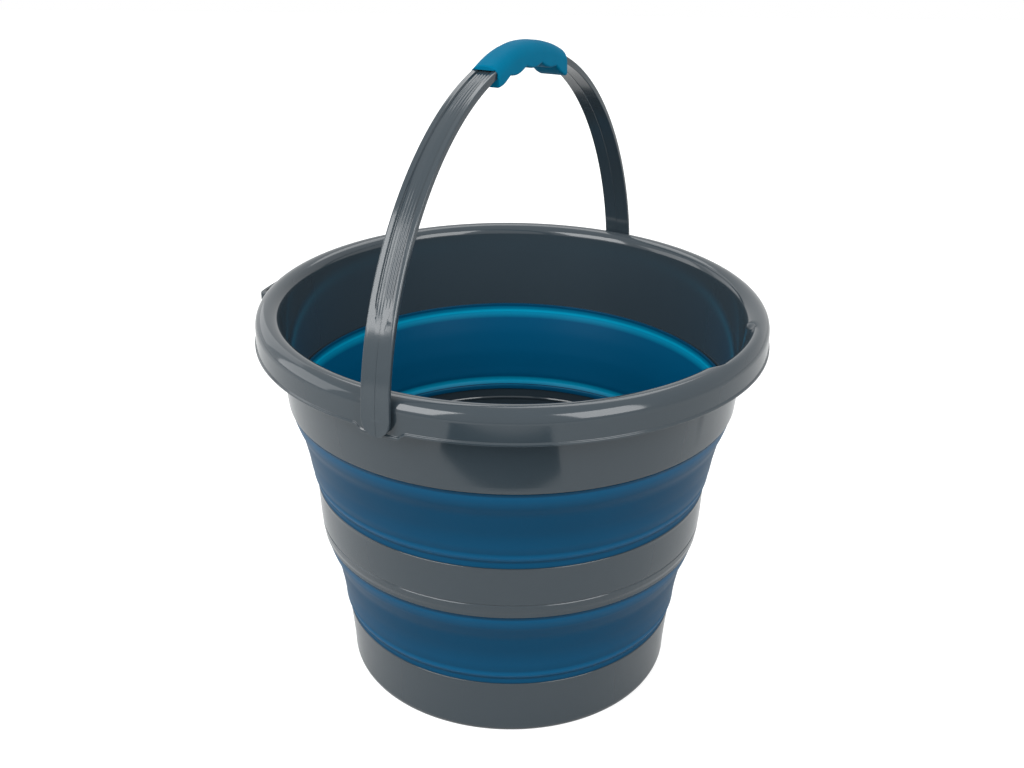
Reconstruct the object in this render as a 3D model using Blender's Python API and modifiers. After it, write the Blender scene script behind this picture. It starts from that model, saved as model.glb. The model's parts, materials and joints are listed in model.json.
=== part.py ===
"""Collapsible camp bucket: a base, two stiff rings and two soft folds that
stack inside one another, with a bail handle on two pivot studs.

Metres, +Z up. The origin is the centre of the base on the ground. The pouring
scoop is at -Y, the hanging loop at +Y, and the bail's pivots lie along X.
"""

import math

import bmesh
import bpy
from mathutils import Matrix, Vector

# Heights of the stacked pieces, from the ground up
BASE_HEIGHT = 0.0400
LOWER_FOLD_HEIGHT = 0.0590
MIDDLE_RING_HEIGHT = 0.0366
UPPER_FOLD_HEIGHT = 0.0580
UPPER_RING_HEIGHT = 0.0599
SEAT_GAP = 0.0003

# The rim's outer radius, and the steps inward from it down the stack
RIM_RADIUS = 0.1618
NECK_INSET = 0.0136
UPPER_RING_TAPER = 0.0045
UPPER_FOLD_STEP = 0.0151
MIDDLE_RING_TAPER = 0.0029
LOWER_FOLD_STEP = 0.0144
BASE_TAPER = 0.0048

# Walls
RIGID_WALL = 0.0024
FOLD_WALL = 0.0022
FLOOR_THICKNESS = 0.0028
FOLD_TUCK = 0.0003

# Foot of the base
FOOT_EDGE_HEIGHT = 0.0020
FOOT_EDGE_STEP = 0.0015
FLOOR_FILLET = 0.0040

# Rolled rim and its hanging skirt
RIM_CREST_INSET = 0.0087
RIM_MOUTH_INSET = 0.0160
RIM_OUTER_ROLL = 0.0082
RIM_INNER_ROLL = 0.0064
RIM_WALL = 0.0023
SKIRT_HEIGHT = 0.0202
SKIRT_DRAFT = 0.0007
LIP_EDGE = 0.0004

# Pouring scoop in the rim's inner side
SPOUT_HALF_ANGLE = math.radians(15.5)
SPOUT_EDGE_ANGLE = math.radians(3.6)
SPOUT_CREST_BLEND = math.radians(10.0)
SPOUT_DEPTH = 0.0034
SPOUT_HEIGHT = 0.0200
SPOUT_DIP = 0.0006

# Skirt tabs round the pivots
TAB_HALF_WIDTH = 0.0090
TAB_BLEND = 0.0090
TAB_DROP = 0.0035
TAB_REACH = 0.0080

# Hanging loop behind the rim
LOOP_REACH = 0.0098
LOOP_BAR = 0.0024
LOOP_HEIGHT = 0.0055
LOOP_HALF_ANGLE = math.radians(14.0)
LOOP_ROOT_DEPTH = 0.0014
LOOP_LIFT = 0.0020

# Bail: an arch, close to a half ellipse, that stands outside the rim
BAIL_SIDE_CLEARANCE = 0.0011
BAIL_RISE = 0.1712
BAIL_LEG_THICKNESS = 0.0026
BAIL_TOP_THICKNESS = 0.0046
BAIL_LEG_WIDTH = 0.0181
BAIL_END_DEPTH = 0.0098
BAIL_TOP_WIDTH = 0.0156
BAIL_ARC_DROP = 0.0048
BAIL_LEAN = math.radians(1.36)
PIVOT_OFFSET = 0.0025
PIVOT_ABOVE_SKIRT = 0.0078
STUD_RADIUS = 0.0042
STUD_CLEARANCE = 0.0004
STUD_HEAD_RADIUS = 0.0056
STUD_HEAD_THICKNESS = 0.0016
STUD_END_PLAY = 0.0008
CUT_OVERRUN = 0.0050

# Soft grip on the bail
GRIP_LENGTH = 0.1000
GRIP_OFFSET = 0.0100
GRIP_TOP_WALL = 0.0044
GRIP_SIDE_WALL = 0.0012
GRIP_UNDER_WALL = 0.0026
GRIP_GROOVE_PITCH = 0.0203
GRIP_GROOVE_DEPTH = 0.0020
GRIP_END_ROUND = 0.0030

# Outline of a fold: (share of its height, share of its radial growth)
FOLD_OUTLINE_SHARES = (
    (0.000, 0.00),
    (0.065, 0.02),
    (0.115, 0.12),
    (0.180, 0.16),
    (0.420, 0.29),
    (0.660, 0.50),
    (0.820, 0.76),
    (0.910, 0.90),
    (1.000, 1.00),
)
# Outline of the middle ring's outer face, likewise
MIDDLE_OUTLINE_SHARES = (
    (0.00, 0.00),
    (0.13, 0.28),
    (0.33, 0.52),
    (0.59, 0.66),
    (0.94, 0.90),
    (1.00, 1.00),
)
# Outline of the upper ring's outer face from its lower corner to the rim
UPPER_OUTLINE_SHARES = (
    (0.00, 0.00),
    (0.06, 0.08),
    (0.50, 0.55),
    (1.00, 1.00),
)
# Powers of the rise: how late the strap narrows and thickens, and how full the arch is
STRAP_SWELL_POWER = 2
ARCH_POWER = 1.095
# How much further the hanging loop's bar stands out at its ends, as a share of its
# reach, and the power that keeps its shoulders square
LOOP_FLARE_SHARE = 0.15
LOOP_SQUARENESS = 16
# Corner cut of the strap's section, as a share of its smaller side
STRAP_CORNER_SHARE = 0.22
GRIP_CORNER_SHARE = 0.30

# Counts
TURN_STEPS = 64
RIM_STEPS = 96
ROLL_POINTS = 5
BAIL_STATIONS = 40
END_STATIONS = 5
GRIP_STATIONS = 44
LOOP_POINTS = 24
ARC_STEPS = 720
STUD_SIDES = 24
MERGE_DISTANCE = 0.00001

# Outer radii at the pieces' ends, from the rim inward
RIM_CREST_RADIUS = RIM_RADIUS - RIM_CREST_INSET
RIM_MOUTH_RADIUS = RIM_RADIUS - RIM_MOUTH_INSET
NECK_RADIUS = RIM_RADIUS - NECK_INSET
UPPER_BOTTOM_RADIUS = NECK_RADIUS - UPPER_RING_TAPER
MIDDLE_TOP_RADIUS = UPPER_BOTTOM_RADIUS - UPPER_FOLD_STEP
MIDDLE_BOTTOM_RADIUS = MIDDLE_TOP_RADIUS - MIDDLE_RING_TAPER
BASE_TOP_RADIUS = MIDDLE_BOTTOM_RADIUS - LOWER_FOLD_STEP
FOOT_RADIUS = BASE_TOP_RADIUS - BASE_TAPER

# Places worked out from the sizes
LOWER_FOLD_Z = BASE_HEIGHT + SEAT_GAP
MIDDLE_RING_Z = LOWER_FOLD_Z + LOWER_FOLD_HEIGHT + SEAT_GAP
UPPER_FOLD_Z = MIDDLE_RING_Z + MIDDLE_RING_HEIGHT + SEAT_GAP
UPPER_RING_Z = UPPER_FOLD_Z + UPPER_FOLD_HEIGHT + SEAT_GAP
RIM_TOP_Z = UPPER_RING_Z + UPPER_RING_HEIGHT
SKIRT_Z = RIM_TOP_Z - SKIRT_HEIGHT
PIVOT_Z = SKIRT_Z + PIVOT_ABOVE_SKIRT
BAIL_HALF_SPAN = RIM_RADIUS + BAIL_SIDE_CLEARANCE + BAIL_LEG_THICKNESS

GREY = (0.080, 0.096, 0.117)
DARK_GREY = (0.062, 0.074, 0.090)
BLUE = (0.013, 0.085, 0.158)
GRIP_BLUE = (0.009, 0.168, 0.352)


def clear_scene():
    for obj in list(bpy.data.objects):
        bpy.data.objects.remove(obj, do_unlink=True)


def new_collection(name):
    collection = bpy.data.collections.new(name)
    bpy.context.scene.collection.children.link(collection)
    return collection


def make_material(name, colour, roughness):
    material = bpy.data.materials.new(name)
    material.use_nodes = True
    shader = material.node_tree.nodes["Principled BSDF"]
    shader.inputs["Base Color"].default_value = (*colour, 1.0)
    shader.inputs["Roughness"].default_value = roughness
    shader.inputs["Metallic"].default_value = 0.0
    material.diffuse_color = (*colour, 1.0)
    return material


def smoothstep(share):
    share = min(max(share, 0.0), 1.0)
    return share * share * (3 - 2 * share)


def quarter_arc(centre, half_sizes, start, end, count):
    """Points of a quarter ellipse from the angle start to the angle end."""
    points = []
    for i in range(count):
        angle = start + (end - start) * i / (count - 1)
        points.append((centre[0] + half_sizes[0] * math.cos(angle),
                       centre[1] + half_sizes[1] * math.sin(angle)))
    return points


def shared_outline(shares, bottom, height, start_radius, end_radius):
    """Outline points, bottom to top, from shares of a height and a growth."""
    growth = end_radius - start_radius
    return [(start_radius + growth * radial, bottom + height * up)
            for up, radial in shares]


def walled(outer, wall):
    """A closed outline: down the outer face, then up the inner one."""
    inner = [(radius - wall, height) for radius, height in outer]
    return outer[::-1] + inner


def turned(name, outline, closed, steps, collection):
    """Turns an outline of (radius, height) points about the Z axis."""
    edges = [(i, i + 1) for i in range(len(outline) - 1)]
    if closed:
        edges.append((len(outline) - 1, 0))
    mesh = bpy.data.meshes.new(name)
    mesh.from_pydata([(radius, 0, height) for radius, height in outline], edges, [])
    obj = bpy.data.objects.new(name, mesh)
    collection.objects.link(obj)
    screw = obj.modifiers.new("Turn", "SCREW")
    screw.steps = steps
    screw.render_steps = steps
    screw.use_merge_vertices = True
    screw.merge_threshold = MERGE_DISTANCE
    screw.use_smooth_shade = True
    return obj


def applied(obj):
    """Replaces an object by the mesh that its modifiers or curve make."""
    graph = bpy.context.evaluated_depsgraph_get()
    graph.update()
    mesh = bpy.data.meshes.new_from_object(obj.evaluated_get(graph))
    solid = bpy.data.objects.new(obj.name, mesh)
    solid.matrix_world = obj.matrix_world
    for collection in obj.users_collection:
        collection.objects.link(solid)
    name = obj.name
    bpy.data.objects.remove(obj, do_unlink=True)
    solid.name = name
    mesh.name = name
    return solid


def weld_and_face_out(mesh):
    shape = bmesh.new()
    shape.from_mesh(mesh)
    bmesh.ops.remove_doubles(shape, verts=shape.verts, dist=MERGE_DISTANCE)
    bmesh.ops.recalc_face_normals(shape, faces=shape.faces)
    shape.to_mesh(mesh)
    shape.free()


def add_boolean(obj, other, operation):
    modifier = obj.modifiers.new(other.name, "BOOLEAN")
    modifier.operation = operation
    modifier.solver = "EXACT"
    modifier.object = other


def as_helper(obj):
    obj.hide_render = True
    obj.display_type = "WIRE"


def cylinder(name, radius, start, end, collection):
    """A cylinder along X from start to end."""
    shape = bmesh.new()
    turn = Matrix.Rotation(math.radians(90), 4, "Y")
    place = Matrix.Translation(((start + end) / 2, 0, 0))
    bmesh.ops.create_cone(shape, cap_ends=True, segments=STUD_SIDES, radius1=radius,
                          radius2=radius, depth=abs(end - start), matrix=place @ turn)
    mesh = bpy.data.meshes.new(name)
    shape.to_mesh(mesh)
    shape.free()
    obj = bpy.data.objects.new(name, mesh)
    collection.objects.link(obj)
    return obj


def make_base(collection):
    """A cup: across the floor, up the inner wall, down the outer wall to the foot."""
    edge_radius = FOOT_RADIUS + FOOT_EDGE_STEP
    fillet_radius = edge_radius - RIGID_WALL - FLOOR_FILLET
    outline = [(0, FLOOR_THICKNESS)]
    outline += quarter_arc((fillet_radius, FLOOR_THICKNESS + FLOOR_FILLET),
                           (FLOOR_FILLET, FLOOR_FILLET),
                           math.radians(-90), 0, ROLL_POINTS - 1)
    outline += [(BASE_TOP_RADIUS - RIGID_WALL, BASE_HEIGHT),
                (BASE_TOP_RADIUS, BASE_HEIGHT),
                (edge_radius, FOOT_EDGE_HEIGHT),
                (FOOT_RADIUS, 0),
                (0, 0)]
    return turned("base", outline, False, TURN_STEPS, collection)


def make_fold(name, bottom, height, start_radius, end_radius, collection):
    outer = shared_outline(FOLD_OUTLINE_SHARES, bottom, height, start_radius,
                           end_radius - FOLD_TUCK)
    return turned(name, walled(outer, FOLD_WALL), True, TURN_STEPS, collection)


def make_middle_ring(collection):
    outer = shared_outline(MIDDLE_OUTLINE_SHARES, MIDDLE_RING_Z, MIDDLE_RING_HEIGHT,
                           MIDDLE_BOTTOM_RADIUS, MIDDLE_TOP_RADIUS)
    return turned("middle_ring", walled(outer, RIGID_WALL), True, TURN_STEPS, collection)


def upper_ring_outline():
    """Round the rim's roll, down the skirt, up under the roll and down the wall,
    then back up the inside."""
    side_radius = RIM_RADIUS - SKIRT_DRAFT
    crest_span = side_radius - RIM_CREST_RADIUS
    mouth_span = RIM_CREST_RADIUS - RIM_MOUTH_RADIUS
    roll_z = RIM_TOP_Z - RIM_OUTER_ROLL
    mouth_z = RIM_TOP_Z - RIM_INNER_ROLL
    right = math.radians(90)
    outline = quarter_arc((RIM_CREST_RADIUS, roll_z), (crest_span, RIM_OUTER_ROLL),
                          right, 0, ROLL_POINTS)
    outline += [(RIM_RADIUS, SKIRT_Z + LIP_EDGE),
                (RIM_RADIUS - LIP_EDGE, SKIRT_Z),
                (RIM_RADIUS - RIM_WALL, SKIRT_Z)]
    outline += quarter_arc((RIM_CREST_RADIUS, roll_z),
                           (crest_span - RIM_WALL, RIM_OUTER_ROLL - RIM_WALL),
                           0, right, ROLL_POINTS)
    neck_span = RIM_CREST_RADIUS - NECK_RADIUS
    outline += quarter_arc((RIM_CREST_RADIUS, mouth_z),
                           (neck_span, RIM_INNER_ROLL - RIM_WALL),
                           right, 2 * right, ROLL_POINTS)[1:]
    wall_height = mouth_z - UPPER_RING_Z
    wall = shared_outline(UPPER_OUTLINE_SHARES, UPPER_RING_Z, wall_height,
                          UPPER_BOTTOM_RADIUS, NECK_RADIUS)
    outline += wall[-2::-1]
    outline += [(radius - RIGID_WALL, height) for radius, height in wall]
    outline += quarter_arc((RIM_CREST_RADIUS, mouth_z), (mouth_span, RIM_INNER_ROLL),
                           2 * right, right, ROLL_POINTS)[1:-1]
    return outline


def shape_spout(mesh):
    """Pushes the inner side of the rim outward to make the pouring scoop."""
    fade_start = NECK_RADIUS
    fade_end = RIM_RADIUS - RIM_WALL
    for vertex in mesh.vertices:
        x, y, z = vertex.co
        radius = math.hypot(x, y)
        angle = abs(math.atan2(x, -y))
        outward = min(max((fade_end - radius) / (fade_end - fade_start), 0), 1)
        side_angle = SPOUT_EDGE_ANGLE + (SPOUT_CREST_BLEND - SPOUT_EDGE_ANGLE) * (1 - outward)
        across = smoothstep((SPOUT_HALF_ANGLE - angle) / side_angle)
        upward = smoothstep((z - (RIM_TOP_Z - SPOUT_HEIGHT)) / (SPOUT_HEIGHT / 2))
        weight = across * outward * upward
        new_radius = radius + SPOUT_DEPTH * weight
        vertex.co.x = x / radius * new_radius
        vertex.co.y = y / radius * new_radius
        vertex.co.z = z - SPOUT_DIP * weight


def shape_pivot_tabs(mesh):
    """Lowers the skirt's edge in a tab round each pivot."""
    inner_limit = RIM_RADIUS - RIM_WALL - SKIRT_DRAFT
    for vertex in mesh.vertices:
        x, y, z = vertex.co
        if math.hypot(x, y) < inner_limit:
            continue
        away = abs(y + PIVOT_OFFSET) - TAB_HALF_WIDTH
        across = 1 - smoothstep(away / TAB_BLEND)
        low = smoothstep((SKIRT_Z + TAB_REACH - z) / TAB_REACH)
        vertex.co.z = z - TAB_DROP * across * low


def make_loop(collection):
    """The hanging loop's bar: a flat outline, its ends sunk in the skirt."""
    root = RIM_RADIUS - LOOP_ROOT_DEPTH

    def side(half_angle, reach):
        points = []
        for i in range(LOOP_POINTS + 1):
            share = -math.cos(math.pi * i / LOOP_POINTS)
            shoulder = (1 - abs(share) ** LOOP_SQUARENESS) ** (1 / LOOP_SQUARENESS)
            bulge = (1 + LOOP_FLARE_SHARE * share * share) * shoulder
            radius = root + reach * bulge
            angle = half_angle * share
            points.append((radius * math.sin(angle), radius * math.cos(angle)))
        return points

    outer_reach = LOOP_REACH + LOOP_ROOT_DEPTH
    thin = LOOP_BAR / root
    outline = side(LOOP_HALF_ANGLE, outer_reach)
    outline += side(LOOP_HALF_ANGLE - thin, outer_reach - LOOP_BAR)[::-1]
    curve = bpy.data.curves.new("hanging_loop", "CURVE")
    curve.dimensions = "2D"
    curve.fill_mode = "BOTH"
    curve.extrude = LOOP_HEIGHT / 2
    spline = curve.splines.new("POLY")
    spline.points.add(len(outline) - 1)
    for point, (x, y) in zip(spline.points, outline):
        point.co = (x, y, 0, 1)
    spline.use_cyclic_u = True
    obj = bpy.data.objects.new("hanging_loop", curve)
    obj.location.z = SKIRT_Z + LOOP_LIFT + LOOP_HEIGHT / 2
    collection.objects.link(obj)
    bpy.context.view_layer.update()
    loop = applied(obj)
    weld_and_face_out(loop.data)
    as_helper(loop)
    return loop


def make_upper_ring(collection, helpers):
    ring = applied(turned("upper_ring", upper_ring_outline(), True, RIM_STEPS, collection))
    weld_and_face_out(ring.data)
    shape_spout(ring.data)
    shape_pivot_tabs(ring.data)
    add_boolean(ring, make_loop(helpers), "UNION")
    for side, name in ((-1, "near_hole"), (1, "far_hole")):
        hole = cylinder(name, STUD_RADIUS + STUD_CLEARANCE,
                        side * (RIM_RADIUS - RIM_WALL - CUT_OVERRUN),
                        side * (RIM_RADIUS + CUT_OVERRUN), helpers)
        hole.location = (0, -PIVOT_OFFSET, PIVOT_Z)
        as_helper(hole)
        add_boolean(ring, hole, "DIFFERENCE")
    return ring


def strap_station(angle):
    """Outer point, outward normal, width and thickness of the bail's strap, in the
    pivot's frame. The angle runs from 0 at the +X leg to pi at the -X leg."""
    sine = math.sin(angle)
    rise_share = max(sine, 0) ** ARCH_POWER
    point = Vector((BAIL_HALF_SPAN * math.cos(angle), 0,
                    BAIL_RISE * rise_share - BAIL_ARC_DROP))
    climb = BAIL_RISE * ARCH_POWER * max(sine, 0) ** (ARCH_POWER - 1) * math.cos(angle)
    normal = Vector((climb, 0, BAIL_HALF_SPAN * sine))
    normal.normalize()
    growth = rise_share ** STRAP_SWELL_POWER
    width = BAIL_LEG_WIDTH + (BAIL_TOP_WIDTH - BAIL_LEG_WIDTH) * growth
    thickness = BAIL_LEG_THICKNESS + (BAIL_TOP_THICKNESS - BAIL_LEG_THICKNESS) * growth
    return point, normal, width, thickness


def strap_stations():
    """Stations from the +X leg's rounded end over the top to the -X leg's end."""
    end = []
    for i in range(END_STATIONS):
        angle = math.radians(90) * (i + 1) / (END_STATIONS + 1)
        point = Vector((BAIL_HALF_SPAN, 0, -BAIL_END_DEPTH * math.cos(angle)))
        width = BAIL_LEG_WIDTH * math.sin(angle)
        end.append((point, Vector((1, 0, 0)), width, BAIL_LEG_THICKNESS))
    start_angle = math.asin((BAIL_ARC_DROP / BAIL_RISE) ** (1 / ARCH_POWER))
    arch = []
    for i in range(BAIL_STATIONS + 1):
        angle = start_angle + (math.pi - 2 * start_angle) * i / BAIL_STATIONS
        arch.append(strap_station(angle))
    mirrored = [(Vector((-point.x, 0, point.z)), -normal, width, thickness)
                for point, normal, width, thickness in end]
    return end + arch + mirrored[::-1]


def section(centre, normal, width, thickness, corner):
    """Eight points of a rectangle with cut corners, width along Y."""
    sideways = Vector((0, 1, 0))
    half_width = width / 2
    half_depth = thickness / 2
    corners = ((half_width - corner, half_depth), (half_width, half_depth - corner),
               (half_width, corner - half_depth), (half_width - corner, -half_depth),
               (corner - half_width, -half_depth), (-half_width, corner - half_depth),
               (-half_width, half_depth - corner), (corner - half_width, half_depth))
    return [centre + sideways * across + normal * out for across, out in corners]


def loft(name, rings, hollow_rings, collection):
    """Skins rings of points. With hollow_rings the skin is a tube's, whose ends
    join each outer ring to the inner one, and otherwise its ends are capped."""
    shape = bmesh.new()
    made = [[shape.verts.new(point) for point in ring] for ring in rings]
    skins = [made]
    if hollow_rings:
        skins.append([[shape.verts.new(point) for point in ring] for ring in hollow_rings])
    for skin in skins:
        for one, other in zip(skin, skin[1:]):
            for i in range(len(one)):
                j = (i + 1) % len(one)
                shape.faces.new((one[i], one[j], other[j], other[i]))
    if hollow_rings:
        for end in (0, -1):
            outer, inner = made[end], skins[1][end]
            for i in range(len(outer)):
                j = (i + 1) % len(outer)
                shape.faces.new((outer[i], outer[j], inner[j], inner[i]))
    else:
        shape.faces.new(made[0])
        shape.faces.new(made[-1])
    bmesh.ops.recalc_face_normals(shape, faces=shape.faces)
    mesh = bpy.data.meshes.new(name)
    shape.to_mesh(mesh)
    shape.free()
    obj = bpy.data.objects.new(name, mesh)
    collection.objects.link(obj)
    return obj


def make_bail(collection, helpers, pivot):
    rings = []
    for point, normal, width, thickness in strap_stations():
        corner = STRAP_CORNER_SHARE * min(width, thickness)
        rings.append(section(point - normal * thickness / 2, normal, width, thickness, corner))
    bail = loft("bail", rings, None, collection)
    bail.parent = pivot
    leg_inner = BAIL_HALF_SPAN - BAIL_LEG_THICKNESS
    skirt_inner = RIM_RADIUS - RIM_WALL - SKIRT_DRAFT
    head_end = skirt_inner - STUD_END_PLAY
    for side, name in ((-1, "near_stud"), (1, "far_stud")):
        stud = cylinder(name, STUD_RADIUS, side * (leg_inner + BAIL_LEG_THICKNESS / 2),
                        side * (head_end - STUD_HEAD_THICKNESS / 2), helpers)
        head = cylinder(name + "_head", STUD_HEAD_RADIUS, side * head_end,
                        side * (head_end - STUD_HEAD_THICKNESS), helpers)
        for helper in (stud, head):
            helper.parent = pivot
            as_helper(helper)
            add_boolean(bail, helper, "UNION")
    return bail


def angle_along(distance):
    """Arch angle at a distance along the strap from its top, positive towards +X."""
    step = math.radians(90) / ARC_STEPS
    angle = math.radians(90)
    run = 0
    while run < abs(distance):
        here = strap_station(angle)[0]
        angle -= step
        run += (strap_station(angle)[0] - here).length
    return angle if distance > 0 else math.pi - angle


def make_grip(collection, pivot):
    """A sleeve on the strap with finger grooves on its underside."""
    outer_rings = []
    bore_rings = []
    for i in range(GRIP_STATIONS + 1):
        from_middle = GRIP_LENGTH * (i / GRIP_STATIONS - 1 / 2)
        point, normal, width, thickness = strap_station(angle_along(from_middle + GRIP_OFFSET))
        centre = point - normal * thickness / 2
        gap = 2 * SEAT_GAP
        bore_rings.append(section(centre, normal, width + gap, thickness + gap,
                                  STRAP_CORNER_SHARE * min(width, thickness)))
        from_end = GRIP_LENGTH / 2 - abs(from_middle)
        inward = max(1 - from_end / GRIP_END_ROUND, 0)
        rounding = math.sqrt(1 - inward * inward)
        fullness = (1 + rounding) / 2
        above = SEAT_GAP + GRIP_TOP_WALL * fullness
        below = SEAT_GAP + GRIP_UNDER_WALL * fullness
        wave = (1 + math.cos(2 * math.pi * from_middle / GRIP_GROOVE_PITCH)) / 2
        below += GRIP_GROOVE_DEPTH * wave * rounding
        full_width = width + gap + 2 * GRIP_SIDE_WALL * fullness
        full_depth = thickness + above + below
        outer_rings.append(section(centre + normal * (above - below) / 2, normal, full_width,
                                   full_depth, GRIP_CORNER_SHARE * min(full_width, full_depth)))
    grip = loft("grip", outer_rings, bore_rings, collection)
    grip.parent = pivot
    return grip


def finish(obj, material):
    obj.data.materials.clear()
    obj.data.materials.append(material)
    if obj.data.polygons:
        obj.data.shade_smooth()
        obj.data.set_sharp_from_angle(angle=math.radians(35))


def main():
    clear_scene()
    bucket = new_collection("collapsible_camp_bucket")
    helpers = new_collection("cutters")
    grey = make_material("grey_polypropylene", GREY, 0.42)
    dark_grey = make_material("dark_grey_polypropylene", DARK_GREY, 0.42)
    blue = make_material("blue_elastomer", BLUE, 0.48)
    grip_blue = make_material("grip_elastomer", GRIP_BLUE, 0.50)
    finish(make_base(bucket), grey)
    finish(make_fold("lower_fold", LOWER_FOLD_Z, LOWER_FOLD_HEIGHT, BASE_TOP_RADIUS,
                     MIDDLE_BOTTOM_RADIUS, bucket), blue)
    finish(make_middle_ring(bucket), grey)
    finish(make_fold("upper_fold", UPPER_FOLD_Z, UPPER_FOLD_HEIGHT, MIDDLE_TOP_RADIUS,
                     UPPER_BOTTOM_RADIUS, bucket), blue)
    finish(make_upper_ring(bucket, helpers), grey)
    pivot = bpy.data.objects.new("bail_pivot", None)
    pivot.location = (0, -PIVOT_OFFSET, PIVOT_Z)
    pivot.rotation_euler.x = -BAIL_LEAN
    bucket.objects.link(pivot)
    finish(make_bail(bucket, helpers, pivot), dark_grey)
    finish(make_grip(bucket, pivot), grip_blue)


main()
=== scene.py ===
"""Looks of a collapsible camp bucket: two stiff rings and a base joined by soft
folding walls, with a pouring scoop, a hanging loop and a bail with a soft grip.

Metres, +Z up, the scoop at -Y, the hanging loop at +Y, the bail's pivots along X.
Every piece stands where its CAD node does; the stiff ones ride on the same body, and the soft
walls stay fixed as they stand at rest.
"""

import json
import math

import bmesh
import bpy
from bpy.props import FloatProperty, FloatVectorProperty, IntProperty, PointerProperty
from bpy.types import Operator, Panel, PropertyGroup
from mathutils import Matrix, Vector


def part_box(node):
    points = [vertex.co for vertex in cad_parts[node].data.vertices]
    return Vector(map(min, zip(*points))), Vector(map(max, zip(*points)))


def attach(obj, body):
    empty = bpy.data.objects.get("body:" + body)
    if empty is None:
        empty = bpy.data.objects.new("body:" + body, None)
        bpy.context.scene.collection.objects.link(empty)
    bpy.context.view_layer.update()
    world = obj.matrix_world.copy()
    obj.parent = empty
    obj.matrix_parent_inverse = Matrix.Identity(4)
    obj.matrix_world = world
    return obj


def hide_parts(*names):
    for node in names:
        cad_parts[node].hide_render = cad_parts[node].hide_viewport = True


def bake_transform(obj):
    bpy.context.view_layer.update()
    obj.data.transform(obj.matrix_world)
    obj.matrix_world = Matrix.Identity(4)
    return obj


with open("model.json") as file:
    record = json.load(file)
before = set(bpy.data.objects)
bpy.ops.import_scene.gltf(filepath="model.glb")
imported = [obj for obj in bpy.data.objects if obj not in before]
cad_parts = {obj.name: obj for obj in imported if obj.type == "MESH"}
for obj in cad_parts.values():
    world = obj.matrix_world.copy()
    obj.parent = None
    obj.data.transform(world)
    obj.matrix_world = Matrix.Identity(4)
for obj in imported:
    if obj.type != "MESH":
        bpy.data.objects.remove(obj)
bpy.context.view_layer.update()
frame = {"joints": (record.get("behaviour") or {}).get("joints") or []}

bl_info = {
    "name": "Collapsible camp bucket",
    "version": (1, 0, 0),
    "blender": (4, 5, 0),
    "location": "View3D > Sidebar > Bucket",
    "description": "Builds a folding bucket with soft walls, a pouring scoop and a bail",
    "category": "Add Mesh",
}

MM = 0.001

# The stack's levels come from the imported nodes
BASE_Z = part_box("base")[0].z
MIDDLE_RING_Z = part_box("middle_ring")[0].z
UPPER_RING_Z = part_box("upper_ring")[0].z
RIM_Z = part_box("upper_ring")[1].z
HINGE = next(Vector(joint["pos_m"]) for joint in frame["joints"]
             if joint["type"] == "hinge")

# Turned outlines: radius, height above the piece's foot and corner cut, in millimetres
BASE_OUTLINE = (
    (0.0, 1.0, 0.0), (96.0, 1.0, 0.5), (97.5, 0.0, 0.5), (106.9, 0.0, 1.4),
    (108.3, 3.2, 1.2), (108.8, 13.5, 0.0), (109.9, 26.5, 0.0), (111.1, 38.0, 0.0),
    (111.3, 40.0, 0.6), (108.9, 40.0, 0.5), (107.6, 26.5, 0.0), (105.6, 2.8, 3.6),
    (0.0, 2.8, 0.0),
)
MIDDLE_OUTLINE = (
    (125.7, 0.0, 0.7), (125.8, 2.6, 0.8), (126.5, 5.0, 0.8), (126.8, 8.8, 0.2),
    (126.45, 9.2, 0.1), (126.45, 9.7, 0.1), (126.9, 10.2, 0.2), (127.2, 13.0, 0.0),
    (127.6, 20.4, 0.0), (128.3, 34.2, 0.3), (128.6, 36.6, 0.7), (126.2, 36.6, 0.5),
    (125.7, 26.6, 0.2), (125.1, 25.7, 0.2), (125.1, 24.9, 0.2), (125.5, 24.0, 0.2),
    (124.5, 13.0, 0.0), (123.3, 0.0, 0.5),
)
LOWER_FOLD_OUTLINE = (
    (111.3, 0.0, 0.3), (110.9, 1.3, 0.4), (110.9, 3.2, 0.5), (112.3, 5.6, 0.8),
    (113.3, 7.2, 0.8), (113.5, 8.8, 0.6), (113.4, 10.4, 0.6), (114.6, 19.7, 0.0),
    (115.1, 23.2, 1.5), (118.0, 38.7, 2.0), (121.6, 47.6, 1.0), (122.2, 49.0, 0.6),
    (123.9, 54.1, 1.2), (124.6, 57.2, 0.6), (125.2, 59.0, 0.3), (123.15, 59.1, 0.2),
    (123.0, 60.9, 0.3), (121.5, 60.9, 0.5), (121.3, 55.0, 1.2), (119.6, 48.8, 1.2),
    (116.0, 37.7, 2.0), (112.9, 23.2, 1.5), (111.6, 13.0, 0.8), (110.4, 7.2, 0.8),
    (110.2, 2.4, 0.8), (107.9, -1.2, 0.6), (107.5, -3.8, 0.3), (108.25, -3.8, 0.2),
    (108.55, -0.4, 0.2), (109.1, 0.0, 0.2),
)
UPPER_FOLD_OUTLINE = (
    (128.6, 0.0, 0.3), (128.2, 1.4, 0.4), (128.2, 3.8, 0.5), (129.6, 6.2, 0.8),
    (130.6, 7.8, 0.8), (130.9, 9.4, 0.6), (130.8, 10.8, 0.6), (132.0, 15.5, 0.0),
    (133.4, 24.5, 1.5), (136.8, 40.2, 2.0), (139.2, 45.5, 1.0), (139.8, 47.1, 0.6),
    (141.3, 51.4, 1.2), (142.6, 56.2, 0.6), (143.3, 58.0, 0.3), (141.15, 58.1, 0.2),
    (140.9, 59.8, 0.3), (139.3, 59.8, 0.5), (139.1, 53.8, 1.2), (137.2, 47.4, 1.2),
    (134.8, 39.5, 2.0), (131.2, 24.5, 1.5), (129.3, 13.0, 0.8), (128.1, 7.4, 0.8),
    (128.0, 2.4, 0.8), (125.6, -1.3, 0.6), (125.1, -3.9, 0.3), (125.75, -3.9, 0.2),
    (126.05, -0.4, 0.2), (126.4, 0.0, 0.2),
)
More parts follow.
